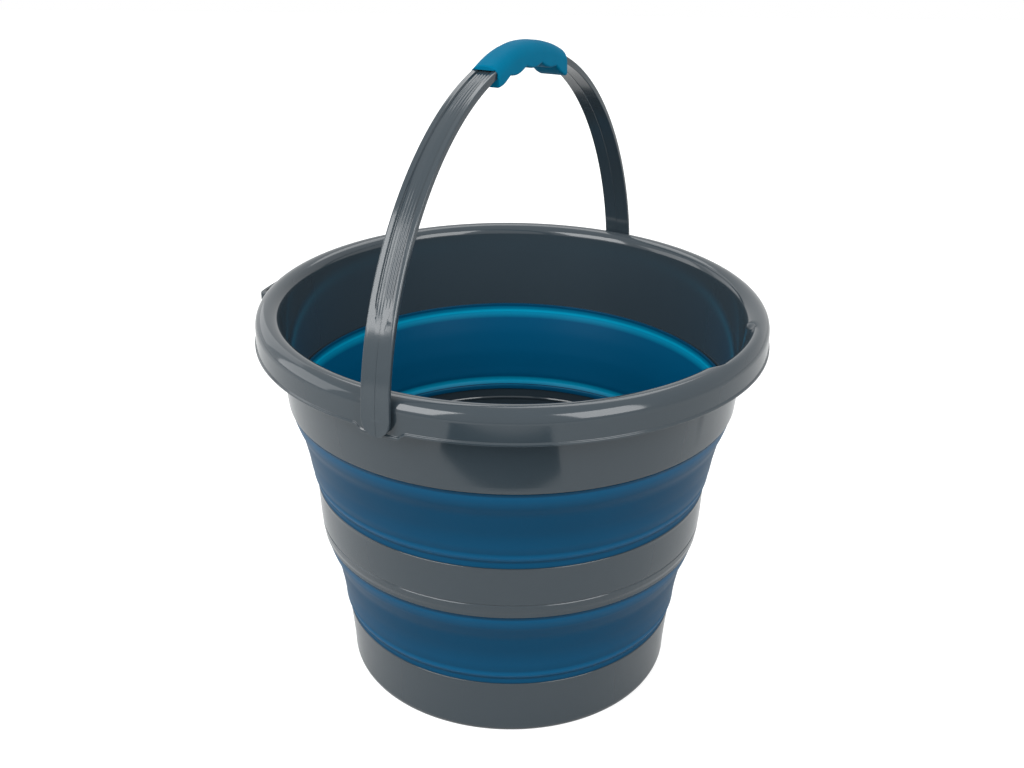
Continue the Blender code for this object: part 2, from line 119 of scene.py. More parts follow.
# Upper ring's wall, heights likewise; the rolled rim is added from its own sizes
UPPER_INNER_WALL = ((141.3, 0.0, 0.5), (142.6, 12.0, 0.0), (144.9, 41.2, 0.0))
UPPER_OUTER_WALL = ((148.1, 47.2, 0.0), (146.4, 28.2, 0.0), (144.1, 3.6, 1.2),
                    (143.7, 0.0, 0.8))
# Radius of the hollow under the roll where it meets the wall's outside
HOLLOW_RADIUS = 0.1482


def linear(code):
    """Linear colour of an sRGB hex code."""
    channels = [int(code[i:i + 2], 16) / 255 for i in (1, 3, 5)]
    return tuple(c / 12.92 if c <= 0.04045 else ((c + 0.055) / 1.055) ** 2.4
                 for c in channels)


def smoothstep(share):
    """A share eased in and out between 0 and 1."""
    share = min(max(share, 0.0), 1.0)
    return share * share * (3 - 2 * share)


def length(name, text, default):
    return FloatProperty(name=name, description=text, default=default, unit="LENGTH",
                         min=0.0, precision=5)


def angle(name, text, default):
    return FloatProperty(name=name, description=text, default=math.radians(default),
                         subtype="ANGLE")


def colour(name, text, code):
    return FloatVectorProperty(name=name, description=text, default=linear(code),
                               subtype="COLOR", size=3, min=0.0, max=1.0)


class BucketSizes(PropertyGroup):
    rim_radius: length("Rim radius", "Outer radius of the skirt under the rim", 0.1618)
    rim_crest: length("Rim crest", "Radius of the rim's highest circle", 0.1531)
    rim_mouth: length("Mouth radius", "Inner radius of the rim's roll", 0.1458)
    rim_outer_roll: length("Outer roll", "Height of the rim's outer rounding", 0.0082)
    rim_inner_roll: length("Inner roll", "Height of the rim's inner rounding", 0.0064)
    rim_wall: length("Rim wall", "Wall of the rim and its skirt", 0.0023)
    skirt_height: length("Skirt height", "From the rim's crest to the skirt's edge", 0.0202)
    scoop_half_angle: angle("Scoop half angle", "Half of the scoop's reach", 15.6)
    scoop_edge_angle: angle("Scoop edge", "Angle over which the scoop's side rises", 2.8)
    scoop_crest_angle: angle("Scoop crest blend", "The same on the rim's crest", 10.0)
    scoop_depth: length("Scoop depth", "How far the rim's inner side is pushed out", 0.0034)
    scoop_height: length("Scoop height", "How far the scoop runs down the wall", 0.0200)
    scoop_dip: length("Scoop dip", "How far the crest is lowered at the scoop", 0.0006)
    tab_half_width: length("Tab half width", "Half of the pivot tab's flat edge", 0.0110)
    tab_blend: length("Tab blend", "Length of the tab's curved sides", 0.0052)
    tab_drop: length("Tab drop", "How far the tab hangs below the skirt", 0.0035)
    loop_reach: length("Loop reach", "From the skirt to the hanging loop's outside", 0.0098)
    loop_half_angle: angle("Loop half angle", "Half of the hanging loop's spread", 14.0)
    loop_bar: length("Loop bar", "Thickness of the hanging loop's bar", 0.0024)
    loop_height: length("Loop height", "Height of the hanging loop's bar", 0.0055)
    bail_rise: length("Bail rise", "Height of the bail's arch above its spring line", 0.1712)
    leg_thickness: length("Leg thickness", "Thickness of the bail's legs", 0.0026)
    top_thickness: length("Top thickness", "Thickness of the bail under the grip", 0.0046)
    leg_width: length("Leg width", "Width of the bail's legs", 0.0181)
    leg_end: length("Leg end", "From the pivot down to the leg's rounded end", 0.0098)
    top_width: length("Top width", "Width of the bail under the grip", 0.0156)
    channel_depth: length("Channel depth", "Depth of the channel outside the bail", 0.0009)
    grip_length: length("Grip length", "Length of the soft grip along the bail", 0.0925)
    grip_offset: length("Grip offset", "From the bail's top to the grip's middle", 0.0100)
    grip_top_wall: length("Grip top wall", "The grip's wall outside the bail", 0.0054)
    grip_side_wall: length("Grip side wall", "The grip's wall beside the bail", 0.0013)
    grip_under_wall: length("Grip under wall", "The grip's wall inside the bail", 0.0027)
    groove_pitch: length("Groove pitch", "From one finger groove to the next", 0.0203)
    groove_depth: length("Groove depth", "Depth of the finger grooves", 0.0022)
    turn_steps: IntProperty(name="Turn steps", description="Facets round a turned piece",
                            default=288, min=32)
    rim_steps: IntProperty(name="Rim steps", description="Facets round the upper ring",
                           default=720, min=96)


class BucketColours(PropertyGroup):
    grey: colour("Grey", "Stiff polypropylene of the base and rings", "#293238")
    bail_grey: colour("Bail grey", "Stiff polypropylene of the bail", "#293238")
    fold_blue: colour("Fold blue", "Soft elastomer of the folding walls", "#06354f")
    # Painted shade: the dark seam where a fold tucks under a ring, outside and inside
    fold_seam_shade: colour("Fold dark", "The elastomer where a fold meets a ring", "#04283c")
    # Painted highlight: light coming through a fold's thin edges and caught on its bead and
    # shoulder
    fold_edge_highlight: colour("Fold bright", "The elastomer along a fold's thin edges", "#0b5c86")
    # The inner faces' colour: the elastomer's own, made more saturated than outside as painted
    # light bounced inside the bucket
    fold_inner: colour("Inner fold", "The folding walls' inner faces", "#004465")
    # Painted highlight on the inner faces' roundings and ledges
    fold_inner_highlight: colour("Inner bright", "The inner faces' thin edges", "#0287aa")
    grip_blue: colour("Grip blue", "Soft elastomer of the grip", "#005774")
    floor: colour("Floor", "Studio floor", "#c4c5c5")


# Mesh tools


def wire_outline(points, foot):
    """A bmesh with a wire outline in the XZ plane, its corners rounded."""
    shape = bmesh.new()
    corners = {}
    chain = []
    for radius, height, cut in points:
        vertex = shape.verts.new((radius * MM, 0, foot + height * MM))
        chain.append(vertex)
        if cut:
            corners.setdefault(cut, []).append(vertex)
    for one, other in zip(chain, chain[1:]):
        shape.edges.new((one, other))
    on_axis = points[0][0] == 0 and points[-1][0] == 0
    if not on_axis:
        shape.edges.new((chain[-1], chain[0]))
    for cut, vertices in corners.items():
        bmesh.ops.bevel(shape, geom=vertices, offset=cut * MM, segments=4, profile=0.5,
                        affect="VERTICES", material=-1, clamp_overlap=True)
    return shape


def divide_long_edges(shape, longest):
    """Cuts every edge that is longer than the given length into equal parts."""
    by_cuts = {}
    for edge in shape.edges:
        cuts = int(edge.calc_length() / longest)
        if cuts:
            by_cuts.setdefault(cuts, []).append(edge)
    for cuts, edges in by_cuts.items():
        bmesh.ops.subdivide_edges(shape, edges=edges, cuts=cuts)


def spin_round(shape, steps):
    """Turns the wire outline an eighth of the way round the Z axis, repeats that
    eighth and closes the turn."""
    eighth = math.radians(45)
    bmesh.ops.spin(shape, geom=shape.verts[:] + shape.edges[:], cent=(0, 0, 0),
                   axis=(0, 0, 1), angle=eighth, steps=steps // 8)
    first = shape.verts[:] + shape.edges[:] + shape.faces[:]
    for i in range(1, 8):
        made = bmesh.ops.duplicate(shape, geom=first)["geom"]
        bmesh.ops.rotate(shape, verts=[item for item in made
                                       if isinstance(item, bmesh.types.BMVert)],
                         cent=(0, 0, 0), matrix=Matrix.Rotation(eighth * i, 3, "Z"))
    bmesh.ops.remove_doubles(shape, verts=shape.verts, dist=0.01 * MM)
    bmesh.ops.recalc_face_normals(shape, faces=shape.faces)


def as_object(name, shape, sharp_angle=40):
    """Turns the bmesh into a smooth-shaded object with face-weighted normals."""
    mesh = bpy.data.meshes.new(name)
    shape.to_mesh(mesh)
    shape.free()
    obj = bpy.data.objects.new(name, mesh)
    bpy.context.scene.collection.objects.link(obj)
    mesh.shade_smooth()
    mesh.set_sharp_from_angle(angle=math.radians(sharp_angle))
    weighted = obj.modifiers.new("Even shading", "WEIGHTED_NORMAL")
    weighted.keep_sharp = True
    return obj


def place(obj, body, node, material):
    """Gives a rigid piece its material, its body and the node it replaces."""
    obj.data.materials.append(material)
    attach(obj, body)
    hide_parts(node)


def swept(shape, sections):
    """Extrudes a closed ring of points through the sections and caps both ends."""
    ring = [shape.verts.new(point) for point in sections[0]]
    edges = [shape.edges.new((ring[i - 1], ring[i])) for i in range(len(ring))]
    shape.faces.new(ring)
    for section in sections[1:]:
        made = bmesh.ops.extrude_edge_only(shape, edges=edges)["geom"]
        fresh = {item for item in made if isinstance(item, bmesh.types.BMVert)}
        ring = [next(edge.other_vert(vertex) for edge in vertex.link_edges
                     if edge.other_vert(vertex) in fresh) for vertex in ring]
        for vertex, point in zip(ring, section):
            vertex.co = point
        edges = [shape.edges.get((ring[i - 1], ring[i])) for i in range(len(ring))]
    shape.faces.new(ring)


# Materials


def add_node(tree, kind, settings=None, **inputs):
    """Adds a node, gives it its settings, and sets or links its inputs by name."""
    node = tree.nodes.new(kind)
    for key, value in (settings or {}).items():
        setattr(node, key, value)
    for key, value in inputs.items():
        socket = node.inputs[int(key[1:])] if key[0] == "i" and key[1:].isdigit() \
            else node.inputs[key.replace("_", " ")]
        if isinstance(value, bpy.types.NodeSocket):
            tree.links.new(value, socket)
        else:
            socket.default_value = value
    return node


def new_material(name):
    """A new material, its node tree and its Principled shader."""
    material = bpy.data.materials.new(name)
    material.use_nodes = True
    return material, material.node_tree, material.node_tree.nodes["Principled BSDF"]


def tinted(rgb, factor):
    """The colour times the factor, with full alpha."""
    return (*[min(channel * factor, 1.0) for channel in rgb], 1.0)


def moulded_polypropylene(name, rgb, roughness):
    """Injection-moulded polypropylene: satin, with a fine eroded grain from the mould
    and soft clouds of tone where the melt flowed."""
    material, tree, shader = new_material(name)
    place_on = add_node(tree, "ShaderNodeTexCoord").outputs["Object"]
    # Flow clouds about 45 mm across
    clouds = add_node(tree, "ShaderNodeTexNoise", Vector=place_on, Scale=22.0, Detail=3.0,
                      Roughness=0.55)
    tone = add_node(tree, "ShaderNodeMix", {"data_type": "RGBA"}, i0=clouds.outputs["Fac"],
                    i6=tinted(rgb, 0.95), i7=tinted(rgb, 1.05))
    tree.links.new(tone.outputs[2], shader.inputs["Base Color"])
    # Grain: real spark erosion is 0.1 mm, drawn at 0.9 mm so that it shows
    grain = add_node(tree, "ShaderNodeTexNoise", Vector=place_on, Scale=1100.0, Detail=2.0,
                     Roughness=0.6)
    bump = add_node(tree, "ShaderNodeBump", Strength=0.10, Distance=0.05 * MM,
                    Height=grain.outputs["Fac"])
    tree.links.new(bump.outputs["Normal"], shader.inputs["Normal"])
    gloss = add_node(tree, "ShaderNodeMapRange", Value=clouds.outputs["Fac"],
                     i3=roughness - 0.02, i4=roughness + 0.03)
    tree.links.new(gloss.outputs["Result"], shader.inputs["Roughness"])
    shader.inputs["IOR"].default_value = 1.49
    shader.inputs["Metallic"].default_value = 0.0
    return material


def moulded_elastomer(name, rgb, dark, bright, inner, inner_highlight, bands, inner_bands):
    """Thermoplastic elastomer, moulded: satin to matte. Light and shade are painted into
    its colour: painted highlights along a fold's thin edges, where light comes through
    and catches on the bead and shoulder, and painted shade along the seams against a
    ring. The bands are (rest height in metres, tone from 0 painted shade over 1 face to 2
    painted highlight), and those of the inner faces have colours of their own: the
    elastomer's, more saturated there as painted light bounced inside the bucket."""
    material, tree, shader = new_material(name)
    place_on = add_node(tree, "ShaderNodeTexCoord").outputs["Object"]
    # Clouds about 55 mm across
    clouds = add_node(tree, "ShaderNodeTexNoise", Vector=place_on, Scale=18.0, Detail=3.0,
                      Roughness=0.5)
    rise = add_node(tree, "ShaderNodeAttribute", {"attribute_name": "rise"})
    inside = add_node(tree, "ShaderNodeAttribute", {"attribute_name": "inside"})

    def banded(stops_at, colours):
        low, high = stops_at[0][0], stops_at[-1][0]
        share = add_node(tree, "ShaderNodeMapRange", Value=rise.outputs["Fac"], i1=low,
                         i2=high)
        ramp = add_node(tree, "ShaderNodeValToRGB", Fac=share.outputs["Result"])
        stops = ramp.color_ramp.elements
        for i, (height, tone) in enumerate(stops_at):
            position = (height - low) / (high - low)
            stop = stops[i] if i < 2 else stops.new(position)
            stop.position = position
            step = min(int(tone), 1)
            mixed = Vector(colours[step]).lerp(Vector(colours[step + 1]), tone - step)
            stop.color = (*mixed, 1.0)
        return ramp.outputs["Color"]

    # Painted shade at the seams and painted highlights along the edges, by rest height,
    # outside and inside
    colour = add_node(tree, "ShaderNodeMix", {"data_type": "RGBA"},
                      i0=inside.outputs["Fac"], i6=banded(bands, (dark, rgb, bright)),
                      i7=banded(inner_bands, (dark, inner, inner_highlight))).outputs[2]
    tone = add_node(tree, "ShaderNodeMix", {"data_type": "RGBA", "blend_type": "MULTIPLY"},
                    i0=0.10, i6=colour, i7=clouds.outputs["Fac"])
    tree.links.new(tone.outputs[2], shader.inputs["Base Color"])
    # Matte skin: real texture is 0.15 mm, drawn at 1 mm so that it shows
    skin = add_node(tree, "ShaderNodeTexNoise", Vector=place_on, Scale=1000.0, Detail=2.0,
                    Roughness=0.6)
    bump = add_node(tree, "ShaderNodeBump", Strength=0.10, Distance=0.05 * MM,
                    Height=skin.outputs["Fac"])
    tree.links.new(bump.outputs["Normal"], shader.inputs["Normal"])
    shader.inputs["Roughness"].default_value = 0.36
    shader.inputs["IOR"].default_value = 1.45
    shader.inputs["Specular IOR Level"].default_value = 0.07
    return material


def grip_elastomer(name, rgb):
    """Overmoulded elastomer of the grip: matte, with a slightly rubbed tone."""
    material, tree, shader = new_material(name)
    place_on = add_node(tree, "ShaderNodeTexCoord").outputs["Object"]
    # Rubbed patches about 17 mm across
    clouds = add_node(tree, "ShaderNodeTexNoise", Vector=place_on, Scale=60.0, Detail=3.0)
    tone = add_node(tree, "ShaderNodeMix", {"data_type": "RGBA"}, i0=clouds.outputs["Fac"],
                    i6=tinted(rgb, 0.90), i7=tinted(rgb, 1.10))
    tree.links.new(tone.outputs[2], shader.inputs["Base Color"])
    skin = add_node(tree, "ShaderNodeTexNoise", Vector=place_on, Scale=1000.0, Detail=2.0)
    bump = add_node(tree, "ShaderNodeBump", Strength=0.15, Distance=0.06 * MM,
                    Height=skin.outputs["Fac"])
    tree.links.new(bump.outputs["Normal"], shader.inputs["Normal"])
    shader.inputs["Roughness"].default_value = 0.50
    shader.inputs["IOR"].default_value = 1.45
    shader.inputs["Specular IOR Level"].default_value = 0.02
    return material


def shared_material(name, make, *values):
    """The material of that name, made the first time it is asked for."""
    return bpy.data.materials.get(name) or make(name, *values)


def ring_material(context):
    return shared_material("moulded_grey_polypropylene", moulded_polypropylene,
                           context.scene.bucket_colours.grey, 0.09)


def fold_material(context, name, foot, top):
    """Bands of painted light and shade measured from the fold's foot and top: painted
    shade at the seam, painted highlight on the bead, plain face, painted highlight on the
    shoulder."""
    colours = context.scene.bucket_colours
    bands = ((foot - 4.0 * MM, 0.8), (foot + 0.5 * MM, 0.8), (foot + 1.6 * MM, 1.1),
             (foot + 3.0 * MM, 1.1), (foot + 3.8 * MM, 0.9), (foot + 5.2 * MM, 1.0),
             (foot + 6.6 * MM, 1.35), (foot + 8.6 * MM, 1.35), (foot + 11.0 * MM, 1.05),
             (foot + 16.0 * MM, 1.1), (foot + 28.0 * MM, 1.0), (top - 12.0 * MM, 1.0),
             (top - 6.5 * MM, 1.2), (top - 2.6 * MM, 1.3), (top - 1.6 * MM, 0.9),
             (top - 0.6 * MM, 0.4), (top + 2.0 * MM, 0.4))
    # Inside: painted shade at the seams and painted highlights on the roundings and ledges
    inner_bands = ((foot - 4.0 * MM, 0.5), (foot - 1.5 * MM, 0.8), (foot + 0.5 * MM, 1.5),
                   (foot + 2.0 * MM, 1.8), (foot + 4.0 * MM, 1.65), (foot + 5.5 * MM, 1.0),
                   (top - 9.0 * MM, 1.0), (top - 7.5 * MM, 1.25), (top - 5.5 * MM, 1.55),
                   (top - 4.5 * MM, 1.6), (top - 3.8 * MM, 2.0), (top - 3.0 * MM, 1.9),
                   (top - 2.0 * MM, 1.4), (top - 0.6 * MM, 1.2), (top + 0.2 * MM, 0.6),
                   (top + 2.0 * MM, 0.5))
    return shared_material(name, moulded_elastomer, colours.fold_blue, colours.fold_seam_shade,
                           colours.fold_edge_highlight, colours.fold_inner,
                           colours.fold_inner_highlight, bands, inner_bands)


# Pieces


class BUCKET_OT_base(Operator):
    """Adds the base: a cup with a floor and a low foot ring"""

    bl_idname = "bucket.base"
    bl_label = "Base"

    def execute(self, context):
        shape = wire_outline(BASE_OUTLINE, BASE_Z)
        spin_round(shape, context.scene.bucket_sizes.turn_steps)
        place(as_object("base_cup", shape), "base_body", "base",
              ring_material(context))
        return {"FINISHED"}


class BUCKET_OT_middle_ring(Operator):
    """Adds the stiff ring between the two folds"""

    bl_idname = "bucket.middle_ring"
    bl_label = "Middle ring"

    def execute(self, context):
        shape = wire_outline(MIDDLE_OUTLINE, MIDDLE_RING_Z)
        spin_round(shape, context.scene.bucket_sizes.turn_steps)
        place(as_object("middle_band", shape), "middle_body", "middle_ring",
              ring_material(context))
        return {"FINISHED"}


def make_fold(context, name, outline, node):
    """A soft wall between the bodies below and above it, fixed as it stands at rest."""
    low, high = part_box(node)
    shape = wire_outline(outline, low.z)
    divide_long_edges(shape, 1.5 * MM)
    spin_round(shape, context.scene.bucket_sizes.turn_steps)
    fold = as_object(name, shape)
    rise = fold.data.attributes.new("rise", "FLOAT", "POINT")
    rise.data.foreach_set("value", [vertex.co.z for vertex in fold.data.vertices])
    inside = fold.data.attributes.new("inside", "FLOAT", "POINT")
    inside.data.foreach_set("value", [float(vertex.normal.xy.dot(vertex.co.xy) < 0)
                                      for vertex in fold.data.vertices])
    fold.data.materials.append(fold_material(context, name + "_elastomer", low.z, high.z))
    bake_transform(fold)
    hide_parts(node)


class BUCKET_OT_folds(Operator):
    """Adds the two soft folding walls"""

    bl_idname = "bucket.folds"
    bl_label = "Folding walls"

    def execute(self, context):
        make_fold(context, "lower_soft_wall", LOWER_FOLD_OUTLINE, "lower_fold")
        make_fold(context, "upper_soft_wall", UPPER_FOLD_OUTLINE, "upper_fold")
        return {"FINISHED"}


def quarter_arc(centre, half_sizes, start, end, count):
    """Outline points in millimetres along a quarter ellipse, angles in degrees."""
    points = []
    for i in range(count):
        turn = math.radians(start + (end - start) * i / (count - 1))
        points.append(((centre[0] + half_sizes[0] * math.cos(turn)) / MM,
                       (centre[1] + half_sizes[1] * math.sin(turn)) / MM, 0.0))
    return points


def upper_ring_outline(sizes):
    """Up the inner wall, over the roll, down the skirt, and back up and down outside."""
    top = RIM_Z - UPPER_RING_Z
    skirt = (top - sizes.skirt_height) / MM
    # The roll's side stands back from the lip along the skirt's edge
    side = sizes.rim_radius - 0.7 * MM
    outer_centre = (sizes.rim_crest, top - sizes.rim_outer_roll)
    mouth_centre = (sizes.rim_crest, top - sizes.rim_inner_roll)
    outer_half = (side - sizes.rim_crest, sizes.rim_outer_roll)
    mouth_half = (sizes.rim_crest - sizes.rim_mouth, sizes.rim_inner_roll)
    rim = sizes.rim_radius / MM
    wall = sizes.rim_wall
    outline = list(UPPER_INNER_WALL)
    outline += quarter_arc(mouth_centre, mouth_half, 180, 90, 10)
    outline += quarter_arc(outer_centre, outer_half, 90, 0, 12)[1:]
    outline += [(rim - 0.60, skirt + 1.9, 0.25), (rim + 0.15, skirt + 1.3, 0.25),
                (rim + 0.15, skirt, 0.35), (rim - 2.1, skirt, 0.5),
                (rim - 2.6, skirt + 4.0, 0.5)]
    outline += quarter_arc(outer_centre, (outer_half[0] - wall, outer_half[1] - wall),
                           0, 90, 8)
    outline += quarter_arc(mouth_centre,
                           (sizes.rim_crest - HOLLOW_RADIUS, mouth_half[1] - wall),
                           90, 180, 6)[1:]
    outline += list(UPPER_OUTER_WALL)
    return outline


def shape_scoop(shape, sizes):
    """Pushes the rim's inner side outward between the scoop's two cusps."""
    fade_end = sizes.rim_radius - sizes.rim_wall
    for vertex in shape.verts:
        x, y, z = vertex.co
        radius = math.hypot(x, y)
        away = abs(math.atan2(x, -y))
        if away > sizes.scoop_half_angle:
            continue
        outward = min(max((fade_end - radius) / (fade_end - HOLLOW_RADIUS), 0), 1)
        side_angle = sizes.scoop_edge_angle \
            + (sizes.scoop_crest_angle - sizes.scoop_edge_angle) * (1 - outward)
        across = smoothstep((sizes.scoop_half_angle - away) / side_angle)
        upward = smoothstep((z - (RIM_Z - sizes.scoop_height)) / (sizes.scoop_height / 2))
        weight = across * outward * upward
        share = (radius + sizes.scoop_depth * weight) / radius
        vertex.co = (x * share, y * share, z - sizes.scoop_dip * weight)


def shape_tabs(shape, sizes):
    """Lowers the skirt's edge in a tab round each pivot."""
    reach = 8 * MM
    skirt_inside = sizes.rim_radius - sizes.rim_wall - 1.2 * MM
    edge = RIM_Z - sizes.skirt_height
    for vertex in shape.verts:
        x, y, z = vertex.co
        if math.hypot(x, y) < skirt_inside:
            continue
        away = abs(y - HINGE.y) - sizes.tab_half_width
        across = 1 - smoothstep(away / sizes.tab_blend)
        low = smoothstep((edge + reach - z) / reach)
        vertex.co.z = z - sizes.tab_drop * across * low


# The hanging loop: how far its ends are sunk in the skirt, its rounded edges, its height
# above the skirt's edge, how much farther out its shoulders are, and how square they are
LOOP_SINK = 1.4 * MM
LOOP_ROUNDING = 0.5 * MM
LOOP_LIFT = 2.0 * MM
LOOP_FLARE = 0.15
LOOP_SQUARENESS = 16


def hanging_loop(sizes):
    """The bar behind the rim, a flat curve with rounded edges whose ends are sunk in
    the skirt, as a mesh."""
    root = sizes.rim_radius - LOOP_SINK
    count = 96

    def side(half, reach):
        points = []
        for i in range(count + 1):
            share = -math.cos(math.pi * i / count)
            bulge = (1 - abs(share) ** LOOP_SQUARENESS) ** (1 / LOOP_SQUARENESS)
            radius = root + reach * (1 + LOOP_FLARE * share * share) * bulge
            points.append((radius * math.sin(half * share), radius * math.cos(half * share)))
        return points

    reach = sizes.loop_reach + LOOP_SINK
    outline = side(sizes.loop_half_angle, reach)
    outline += side(sizes.loop_half_angle - sizes.loop_bar / root,
                    reach - sizes.loop_bar)[::-1]
    curve = bpy.data.curves.new("hanging_loop", "CURVE")
    curve.dimensions = "2D"
    curve.fill_mode = "BOTH"
    curve.bevel_depth = LOOP_ROUNDING
    curve.bevel_resolution = 2
    curve.offset = -LOOP_ROUNDING
    curve.extrude = sizes.loop_height / 2 - LOOP_ROUNDING
    spline = curve.splines.new("POLY")
    spline.points.add(len(outline) - 1)
    for point, (x, y) in zip(spline.points, outline):
        point.co = (x, y, 0, 1)
    spline.use_cyclic_u = True
    obj = bpy.data.objects.new("hanging_loop", curve)
    bpy.context.scene.collection.objects.link(obj)
    bpy.context.view_layer.update()
    mesh = bpy.data.meshes.new_from_object(obj)
    bpy.data.objects.remove(obj)
    foot = RIM_Z - sizes.skirt_height + LOOP_LIFT
    mesh.transform(Matrix.Translation((0, 0, foot + sizes.loop_height / 2)))
    return mesh


class BUCKET_OT_upper_ring(Operator):
    """Adds the upper ring with its rolled rim, pouring scoop, pivot tabs and loop"""

    bl_idname = "bucket.upper_ring"
    bl_label = "Upper ring"

    def execute(self, context):
        sizes = context.scene.bucket_sizes
        shape = wire_outline(upper_ring_outline(sizes), UPPER_RING_Z)
        spin_round(shape, sizes.rim_steps)
        shape_scoop(shape, sizes)
        shape_tabs(shape, sizes)
        bmesh.ops.recalc_face_normals(shape, faces=shape.faces)
        ring = as_object("upper_band_with_rim", shape)
        place(ring, "upper_body", "upper_ring", ring_material(context))
        shape = bmesh.new()
        shape.from_mesh(hanging_loop(sizes))
        bmesh.ops.remove_doubles(shape, verts=shape.verts, dist=0.01 * MM)
        bmesh.ops.recalc_face_normals(shape, faces=shape.faces)
        loop = as_object("hanging_loop_bar", shape)
        loop.data.materials.append(ring_material(context))
        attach(loop, "upper_body")
        return {"FINISHED"}


# The bail's arch: the power of its sine, from the pivots down to its spring line, and
# how far it leans back at rest
ARCH_POWER = 1.095
BAIL_DROP = 0.0048
BAIL_LEAN = math.radians(1.36)
# From the skirt to the legs' inner faces
LEG_GAP = 1.1 * MM

# The strap's section in millimetres: rounded edges, the bead along them and its distances
# from the edge, the low leg's central ridge, the channel floor's fine ribs, the slope
# beside the floor, and the thin ridge along the inner face
EDGE_CORNER = 0.6
BEAD_HEIGHT = 0.16
BEAD_STARTS = 2.0
BEAD_ENDS = 1.6
RIDGE_HEIGHT = 0.16
RIDGE_SIDE = 0.22
RIB_HEIGHT = 0.11
RIB_PITCH = 1.8
FLOOR_SLOPE = 0.3
INNER_RIDGE_SIDE = 0.4
INNER_RIDGE_HEIGHT = 0.2
# The channel's half width as a share of the strap's at its start, and what it gains
CHANNEL_NARROW = 0.30
CHANNEL_WIDENING = 0.28
# Share of the channel's half width that its floor takes
FLOOR_WIDTH = 0.96
# Share of its depth that the channel has in its middle, and what it gains to its sides
FLOOR_MIDDLE = 0.70
FLOOR_ROOF = 0.30

# Share of the arch's rise where each starts, and over which it fades in or out
CHANNEL_STARTS, CHANNEL_FADE = 0.30, 0.10
RIBS_START, RIBS_FADE_IN = 0.35, 0.08
RIBS_END, RIBS_FADE_OUT = 0.76, 0.12
GRIP_RIBS_START, GRIP_RIBS_FADE = 0.86, 0.06


def bail_half_span(sizes):
    """From the middle to the strap's outer face at the spring line."""
    return sizes.rim_radius + LEG_GAP + sizes.leg_thickness


def arch_point(sizes, turn):
    """Outer point, outward normal, width, thickness and rise share of the strap, in
    the hinge's frame. The angle runs from 0 at the +X leg to pi at the -X leg."""
    half_span = bail_half_span(sizes)
    sine = max(math.sin(turn), 0.0)
    rise = sine ** ARCH_POWER
    point = Vector((half_span * math.cos(turn), 0, sizes.bail_rise * rise - BAIL_DROP))
    climb = sizes.bail_rise * ARCH_POWER * sine ** (ARCH_POWER - 1) * math.cos(turn)
    normal = Vector((climb, 0, half_span * sine)).normalized()
    growth = rise * rise
    width = sizes.leg_width + (sizes.top_width - sizes.leg_width) * growth
    thickness = sizes.leg_thickness + (sizes.top_thickness - sizes.leg_thickness) * growth
    return point, normal, width, thickness, rise


def strap_outline(width, thickness, channel, ribs, depth):
    """Half of the strap's section from the middle of its outer face round to the
    middle of its inner face, as (across, outward). A thin bead runs along the outer
    face's edges. channel runs from 0 low on the legs to 1 where the channel between
    the flanges is fully formed, and ribs likewise for the fine ribs in its floor."""
    half = width / 2
    top = thickness / 2
    # The small lengths shrink with the section where the leg's end narrows
    unit = min(1.0 * MM, half / 8)
    corner = EDGE_CORNER * unit
    face = top - BEAD_HEIGHT * unit
    wall = half * (CHANNEL_NARROW + CHANNEL_WIDENING * channel)
    ridge = RIDGE_HEIGHT * MM * (1 - channel)
    rib = RIB_HEIGHT * MM * ribs
    pitch = RIB_PITCH * unit

    def floor(across):
        roof = face - depth * channel * (FLOOR_MIDDLE + FLOOR_ROOF * across / wall)
        return roof + rib * math.cos(2 * math.pi * across / pitch)

    steps = 24
    side = RIDGE_SIDE * unit
    points = [(0, floor(0) + ridge), (side, floor(side) + ridge * 0.7)]
    for i in range(2, steps + 1):
        across = wall * FLOOR_WIDTH * i / steps
        points.append((across, floor(across)))
    points += [(wall + FLOOR_SLOPE * unit, face), (half - BEAD_STARTS * unit, face),
               (half - BEAD_ENDS * unit, top), (half - corner, top)]
    for i in range(1, 5):
        turn = math.radians(90 - 22.5 * i)
        points.append((half - corner + corner * math.cos(turn),
                       top - corner + corner * math.sin(turn)))
    for i in range(5):
        turn = math.radians(-22.5 * i)
        points.append((half - corner + corner * math.cos(turn),
                       corner - top + corner * math.sin(turn)))
    points += [(INNER_RIDGE_SIDE * unit, -top), (0, -top - INNER_RIDGE_HEIGHT * unit)]
    return points


def strap_section(centre, normal, half_points):
    """Both halves of a section as points, width along Y."""
    across = Vector((0, 1, 0))
    right = [centre + across * a + normal * o for a, o in half_points]
    left = [centre - across * a + normal * o for a, o in half_points[-2:0:-1]]
    return right + left


def bail_frame():
    """From the arch's own frame, with the pivots along X, to the rest pose."""
    return Matrix.Translation(HINGE) @ Matrix.Rotation(-BAIL_LEAN, 4, "X")


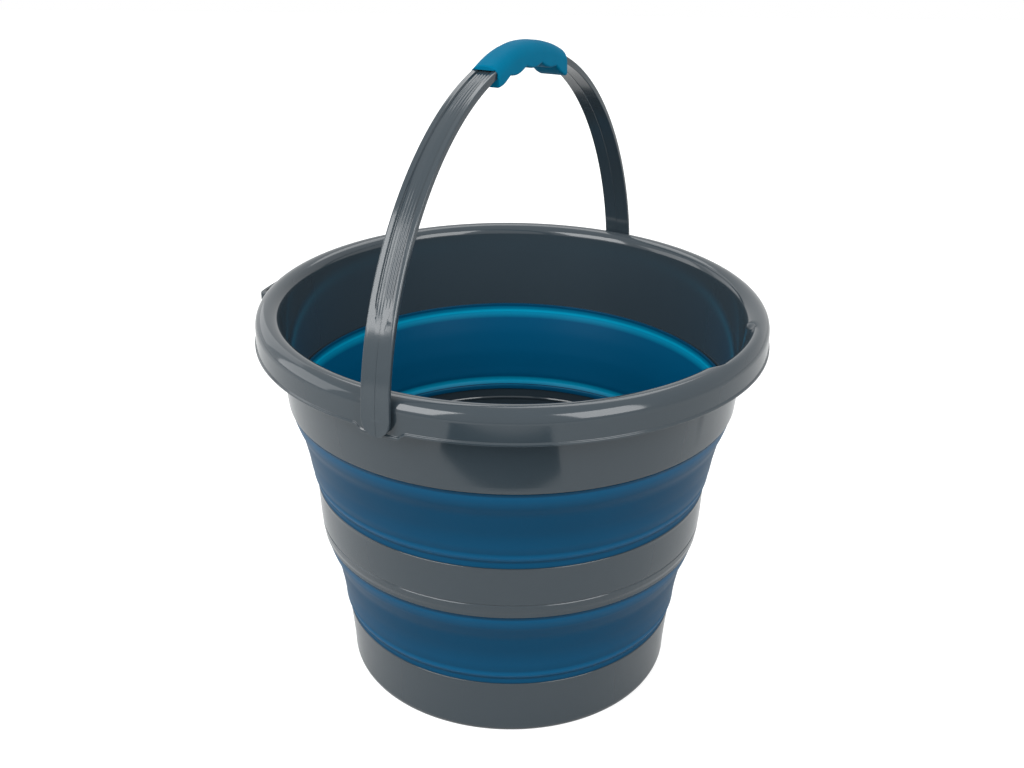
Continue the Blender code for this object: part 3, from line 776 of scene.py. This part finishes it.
def strap_sections(sizes):
    """Sections from the +X leg's rounded end over the top to the -X leg's end."""
    half_span = bail_half_span(sizes)
    end = []
    end_steps = 16
    for i in range(end_steps):
        # The first section is narrow instead of a point
        turn = math.radians(90) * (i + 0.6) / end_steps
        width = sizes.leg_width * math.sin(turn)
        half_points = strap_outline(width, sizes.leg_thickness, 0, 0, 0)
        centre = Vector((half_span - sizes.leg_thickness / 2, 0,
                         -sizes.leg_end * math.cos(turn)))
        end.append((centre, Vector((1, 0, 0)), half_points))
    start = math.asin((BAIL_DROP / sizes.bail_rise) ** (1 / ARCH_POWER))
    arch = []
    steps = 260
    for i in range(steps + 1):
        turn = start + (math.pi - 2 * start) * i / steps
        point, normal, width, thickness, rise = arch_point(sizes, turn)
        channel = smoothstep((rise - CHANNEL_STARTS) / CHANNEL_FADE)
        ribs = smoothstep((rise - RIBS_START) / RIBS_FADE_IN) \
            * smoothstep((RIBS_END - rise) / RIBS_FADE_OUT) \
            + smoothstep((rise - GRIP_RIBS_START) / GRIP_RIBS_FADE)
        half_points = strap_outline(width, thickness, channel, ribs, sizes.channel_depth)
        arch.append((point - normal * thickness / 2, normal, half_points))
    mirrored = [(Vector((-centre.x, 0, centre.z)), -normal, points)
                for centre, normal, points in end]
    return [strap_section(*section) for section in end + arch + mirrored[::-1]]


# The pivot studs: radius, radius and thickness of the heads, bevel, how far a stud runs
# into its leg, and from the skirt's inner side to the head
STUD_RADIUS = 4.2 * MM
HEAD_RADIUS = 5.6 * MM
HEAD_THICKNESS = 1.6 * MM
STUD_BEVEL = 0.4 * MM
STUD_SINK = 1.5 * MM
HEAD_GAP = 1.5 * MM


def add_stud_part(shape, side, radius, start, end):
    """A bevelled cylinder along X between two distances from the middle."""
    middle = Matrix.Translation((side * (start + end) / 2, 0, 0))
    turned = Matrix.Rotation(math.radians(90), 4, "Y")
    made = bmesh.ops.create_cone(shape, cap_ends=True, segments=48, radius1=radius,
                                 radius2=radius, depth=abs(end - start),
                                 matrix=middle @ turned)
    rims = {edge for vertex in made["verts"] for edge in vertex.link_edges
            if len(edge.link_faces) == 2
            and any(len(face.verts) > 4 for face in edge.link_faces)}
    bmesh.ops.bevel(shape, geom=list(rims), offset=STUD_BEVEL, segments=3, profile=0.5,
                    affect="EDGES", material=-1)


class BUCKET_OT_bail(Operator):
    """Adds the bail: a moulded strap with a channel outside, and its pivot studs"""

    bl_idname = "bucket.bail"
    bl_label = "Bail"

    def execute(self, context):
        sizes = context.scene.bucket_sizes
        shape = bmesh.new()
        swept(shape, strap_sections(sizes))
        leg_inner = sizes.rim_radius + LEG_GAP
        head = sizes.rim_radius - sizes.rim_wall - HEAD_GAP
        for side in (-1, 1):
            add_stud_part(shape, side, STUD_RADIUS, leg_inner + STUD_SINK,
                          head - HEAD_THICKNESS / 2)
            add_stud_part(shape, side, HEAD_RADIUS, head, head - HEAD_THICKNESS)
        bmesh.ops.transform(shape, matrix=bail_frame(), verts=shape.verts)
        bmesh.ops.recalc_face_normals(shape, faces=shape.faces)
        bail = as_object("bail_strap", shape, 32)
        material = shared_material("moulded_bail_polypropylene", moulded_polypropylene,
                                   context.scene.bucket_colours.bail_grey, 0.12)
        place(bail, "bail_body", "bail", material)
        return {"FINISHED"}


def turn_along(sizes, distance):
    """Arch angle at a distance along the strap from its top, positive towards +X."""
    step = math.radians(0.1)
    turn = math.radians(90)
    run = 0.0
    point = arch_point(sizes, turn)[0]
    while run < abs(distance):
        turn -= step
        following = arch_point(sizes, turn)[0]
        run += (following - point).length
        point = following
    return turn if distance > 0 else math.pi - turn


def rounded_section(centre, normal, width, depth, outer_corner, inner_corner):
    """A rectangle with round corners, width along Y, as points."""
    across = Vector((0, 1, 0))
    points = []
    for quarter, (side, out) in enumerate(((1, 1), (-1, 1), (-1, -1), (1, -1))):
        corner = outer_corner if out > 0 else inner_corner
        for i in range(6):
            turn = math.radians(90 * quarter + 18 * i)
            points.append(centre
                          + across * (side * (width / 2 - corner) + corner * math.cos(turn))
                          + normal * (out * (depth / 2 - corner) + corner * math.sin(turn)))
    return points


# The grip: play of its bore round the strap, corners of the bore and of the outside, and
# how far its ends are rounded and how much of the wall is left there
BORE_PLAY = 0.6 * MM
BORE_CORNER = 0.7 * MM
GRIP_OUTER_CORNER = 7.2 * MM
GRIP_INNER_CORNER = 1.6 * MM
GRIP_END_ROUNDING = 0.8 * MM
GRIP_END_FULLNESS = 0.80
# How strongly its sections crowd near both ends
GRIP_CROWDING = 0.35
# Its top wall thins towards both ends, more towards the -X end, and its under wall
# thickens towards the +X end
GRIP_THINNING, GRIP_THINNING_SKEW = 0.43, 0.13
GRIP_DEEPENING = 1.4 * MM


def grip_sections(sizes):
    """Upright sections of the grip's outside and of its bore from the -X end to the +X
    end, closer together near both ends."""
    outer = []
    bore = []
    steps = 150
    half_length = sizes.grip_length / 2
    for i in range(steps + 1):
        along = -half_length * math.cos(math.pi * i / steps) * GRIP_CROWDING \
            + sizes.grip_length * (i / steps - 0.5) * (1 - GRIP_CROWDING)
        turn = turn_along(sizes, along + sizes.grip_offset)
        point, normal, width, thickness, _ = arch_point(sizes, turn)
        centre = point - normal * thickness / 2
        upright = Vector((0, 0, 1 / normal.z))
        bore.append(rounded_section(centre, upright, width + BORE_PLAY,
                                    thickness + BORE_PLAY, BORE_CORNER, BORE_CORNER))
        from_end = half_length - abs(along)
        inward = min(max(1 - from_end / GRIP_END_ROUNDING, 0), 1)
        rounding = math.sqrt(1 - inward * inward)
        fullness = GRIP_END_FULLNESS + (1 - GRIP_END_FULLNESS) * rounding
        groove = math.sqrt((1 + math.cos(2 * math.pi * along / sizes.groove_pitch)) / 2)
        share = along / half_length
        thinned = 1 - (GRIP_THINNING - GRIP_THINNING_SKEW * share) * share * share
        deepening = GRIP_DEEPENING * (1 + share) * share * share
        above = BORE_PLAY / 2 + sizes.grip_top_wall * thinned * fullness
        below = BORE_PLAY / 2 + (sizes.grip_under_wall + deepening
                                 + sizes.groove_depth * groove) * fullness
        full_width = width + BORE_PLAY + 2 * sizes.grip_side_wall * fullness
        outer.append(rounded_section(centre + upright * (above - below) / 2, upright,
                                     full_width, thickness + above + below,
                                     GRIP_OUTER_CORNER, GRIP_INNER_CORNER))
    return outer, bore


class BUCKET_OT_grip(Operator):
    """Adds the soft grip: a sleeve on the bail with finger grooves on its underside"""

    bl_idname = "bucket.grip"
    bl_label = "Grip"

    def execute(self, context):
        outer, bore = grip_sections(context.scene.bucket_sizes)
        shape = bmesh.new()
        swept(shape, outer + bore[::-1])
        caps = [face for face in shape.faces if len(face.verts) > 4]
        bmesh.ops.delete(shape, geom=caps, context="FACES_ONLY")
        open_edges = [edge for edge in shape.edges if len(edge.link_faces) == 1]
        bmesh.ops.bridge_loops(shape, edges=open_edges)
        bmesh.ops.transform(shape, matrix=bail_frame(), verts=shape.verts)
        bmesh.ops.remove_doubles(shape, verts=shape.verts, dist=0.005 * MM)
        bmesh.ops.recalc_face_normals(shape, faces=shape.faces)
        grip = as_object("grip_sleeve", shape)
        material = shared_material("overmoulded_grip_elastomer", grip_elastomer,
                                   context.scene.bucket_colours.grip_blue)
        place(grip, "bail_body", "grip", material)
        return {"FINISHED"}


# Stage

# The camera's place and aim, from the photograph's perspective
CAMERA_AT = (-0.6830, -0.3499, 0.5560)
CAMERA_HEADING = math.radians(27.12)
CAMERA_DOWN = math.radians(25.18)
CAMERA_ROLL = math.radians(0.63)
CAMERA_LENS = 45.70


def add_camera(context):
    heading = CAMERA_HEADING
    forward = Vector((math.cos(heading) * math.cos(CAMERA_DOWN),
                      math.sin(heading) * math.cos(CAMERA_DOWN), -math.sin(CAMERA_DOWN)))
    level = Vector((math.sin(heading), -math.cos(heading), 0))
    down = forward.cross(level)
    right = level * math.cos(CAMERA_ROLL) - down * math.sin(CAMERA_ROLL)
    low = level * math.sin(CAMERA_ROLL) + down * math.cos(CAMERA_ROLL)
    data = bpy.data.cameras.new("camera")
    data.lens = CAMERA_LENS
    data.sensor_width = 36.0
    data.dof.use_dof = False
    camera = bpy.data.objects.new("camera", data)
    turn = Matrix((right, -low, -forward)).transposed()
    camera.matrix_world = Matrix.Translation(CAMERA_AT) @ turn.to_4x4()
    context.scene.collection.objects.link(camera)
    context.scene.camera = camera


def add_softbox(context, name, at, aim, width, height, power):
    data = bpy.data.lights.new(name, "AREA")
    data.shape = "RECTANGLE"
    data.size = width
    data.size_y = height
    data.energy = power
    lamp = bpy.data.objects.new(name, data)
    lamp.location = at
    lamp.rotation_mode = "QUATERNION"
    lamp.rotation_quaternion = (Vector(aim) - Vector(at)).to_track_quat("-Z", "Y")
    context.scene.collection.objects.link(lamp)


def from_camera(right, back, up):
    """A point given to the right of, towards and above the bucket as the camera sees it."""
    heading = CAMERA_HEADING
    return Vector((math.sin(heading) * right - math.cos(heading) * back,
                   -math.cos(heading) * right - math.sin(heading) * back, up))


# The studio table from above, right of and towards the bucket as the camera sees it, in
# two halves: an opening between them, under the camera, shows dark in the upper ring
TABLE = (((-1.8, -2.6), (0.0, -2.6), (0.0, 0.37), (-0.21, 0.37), (-0.27, 0.66), (0.0, 0.66),
          (0.0, 1.4), (-1.8, 1.4)),
         ((0.0, -2.6), (1.8, -2.6), (1.8, 1.4), (0.0, 1.4), (0.0, 0.66), (0.17, 0.66),
          (0.14, 0.37), (0.0, 0.37)))


def add_floor(context):
    shape = bmesh.new()
    for half in TABLE:
        shape.faces.new([shape.verts.new(from_camera(right, back, 0)) for right, back in half])
    mesh = bpy.data.meshes.new("floor")
    shape.to_mesh(mesh)
    shape.free()
    floor = bpy.data.objects.new("floor", mesh)
    context.scene.collection.objects.link(floor)
    material = bpy.data.materials.new("matte_studio_floor")
    material.use_nodes = True
    tree = material.node_tree
    tree.nodes.clear()
    # The floor's own shading keeps the shadow, and what it adds for the camera alone
    # brings the lit floor up to white
    seen = add_node(tree, "ShaderNodeLightPath").outputs["Is Camera Ray"]
    matte = add_node(tree, "ShaderNodeBsdfDiffuse",
                     Color=tinted(context.scene.bucket_colours.floor, 1.0))
    level = add_node(tree, "ShaderNodeMath", {"operation": "MULTIPLY"}, i0=seen, i1=0.55)
    glow = add_node(tree, "ShaderNodeEmission", Strength=level.outputs[0])
    both = add_node(tree, "ShaderNodeAddShader", i0=matte.outputs[0], i1=glow.outputs[0])
    add_node(tree, "ShaderNodeOutputMaterial", Surface=both.outputs[0])
    floor.data.materials.append(material)


def add_world(context):
    world = bpy.data.worlds.new("studio")
    context.scene.world = world
    world.use_nodes = True
    tree = world.node_tree
    tree.nodes.clear()
    seen = add_node(tree, "ShaderNodeLightPath").outputs["Is Camera Ray"]
    # White above the horizon, fading below it to the dark studio ground
    look = add_node(tree, "ShaderNodeTexCoord").outputs["Generated"]
    split = add_node(tree, "ShaderNodeSeparateXYZ", Vector=look)
    sky = add_node(tree, "ShaderNodeMapRange", Value=split.outputs["Z"], i1=-0.34, i2=-0.05,
                   i3=0.03, i4=1.0)
    soft = add_node(tree, "ShaderNodeBackground", Color=(1, 1, 1, 1),
                    Strength=sky.outputs["Result"])
    white = add_node(tree, "ShaderNodeBackground", Color=(1, 1, 1, 1), Strength=1.0)
    both = add_node(tree, "ShaderNodeMixShader", i0=seen, i1=soft.outputs[0],
                    i2=white.outputs[0])
    add_node(tree, "ShaderNodeOutputWorld", Surface=both.outputs[0])


# Place right of, towards and above the bucket as the camera sees it, width, height, watts
SOFTBOXES = (
    ("front_left", -1.42, 1.35, 1.39, 1.3, 1.6, 44.0),
    ("front_right", 1.25, 1.45, 1.35, 1.1, 1.7, 33.0),
    ("side_left", -2.2, -0.2, 0.9, 1.4, 1.6, 14.0),
    ("overhead_back", 0.0, -1.4, 2.0, 1.6, 0.9, 11.0),
    ("back_left", -1.5, -1.7, 1.2, 1.2, 1.4, 4.0),
)


class BUCKET_OT_stage(Operator):
    """Adds the camera, the softboxes, the world and the floor"""

    bl_idname = "bucket.stage"
    bl_label = "Stage"

    def execute(self, context):
        add_camera(context)
        add_world(context)
        add_floor(context)
        aim = from_camera(0, 0, 0.20)
        for name, right, back, up, width, height, power in SOFTBOXES:
            add_softbox(context, name, from_camera(right, back, up), aim, width, height, power)
        context.scene.view_settings.view_transform = "Standard"
        return {"FINISHED"}


class BUCKET_PT_panel(Panel):
    """Lists the bucket's pieces, sizes and colours"""

    bl_idname = "BUCKET_PT_panel"
    bl_label = "Collapsible bucket"
    bl_space_type = "VIEW_3D"
    bl_region_type = "UI"
    bl_category = "Bucket"

    def draw(self, context):
        for operator in PIECES:
            self.layout.operator(operator.bl_idname)
        for group in (context.scene.bucket_sizes, context.scene.bucket_colours):
            box = self.layout.box()
            for key in group.__annotations__:
                box.prop(group, key)


PIECES = (BUCKET_OT_stage, BUCKET_OT_base, BUCKET_OT_middle_ring, BUCKET_OT_folds,
          BUCKET_OT_upper_ring, BUCKET_OT_bail, BUCKET_OT_grip)
CLASSES = (BucketSizes, BucketColours, *PIECES, BUCKET_PT_panel)


def register():
    for item in CLASSES:
        bpy.utils.register_class(item)
    bpy.types.Scene.bucket_sizes = PointerProperty(type=BucketSizes)
    bpy.types.Scene.bucket_colours = PointerProperty(type=BucketColours)


def unregister():
    del bpy.types.Scene.bucket_colours
    del bpy.types.Scene.bucket_sizes
    for item in reversed(CLASSES):
        bpy.utils.unregister_class(item)


def main():
    register()
    bpy.ops.bucket.stage()
    bpy.ops.bucket.base()
    bpy.ops.bucket.middle_ring()
    bpy.ops.bucket.folds()
    bpy.ops.bucket.upper_ring()
    bpy.ops.bucket.bail()
    bpy.ops.bucket.grip()


if __name__ == "__main__":
    main()
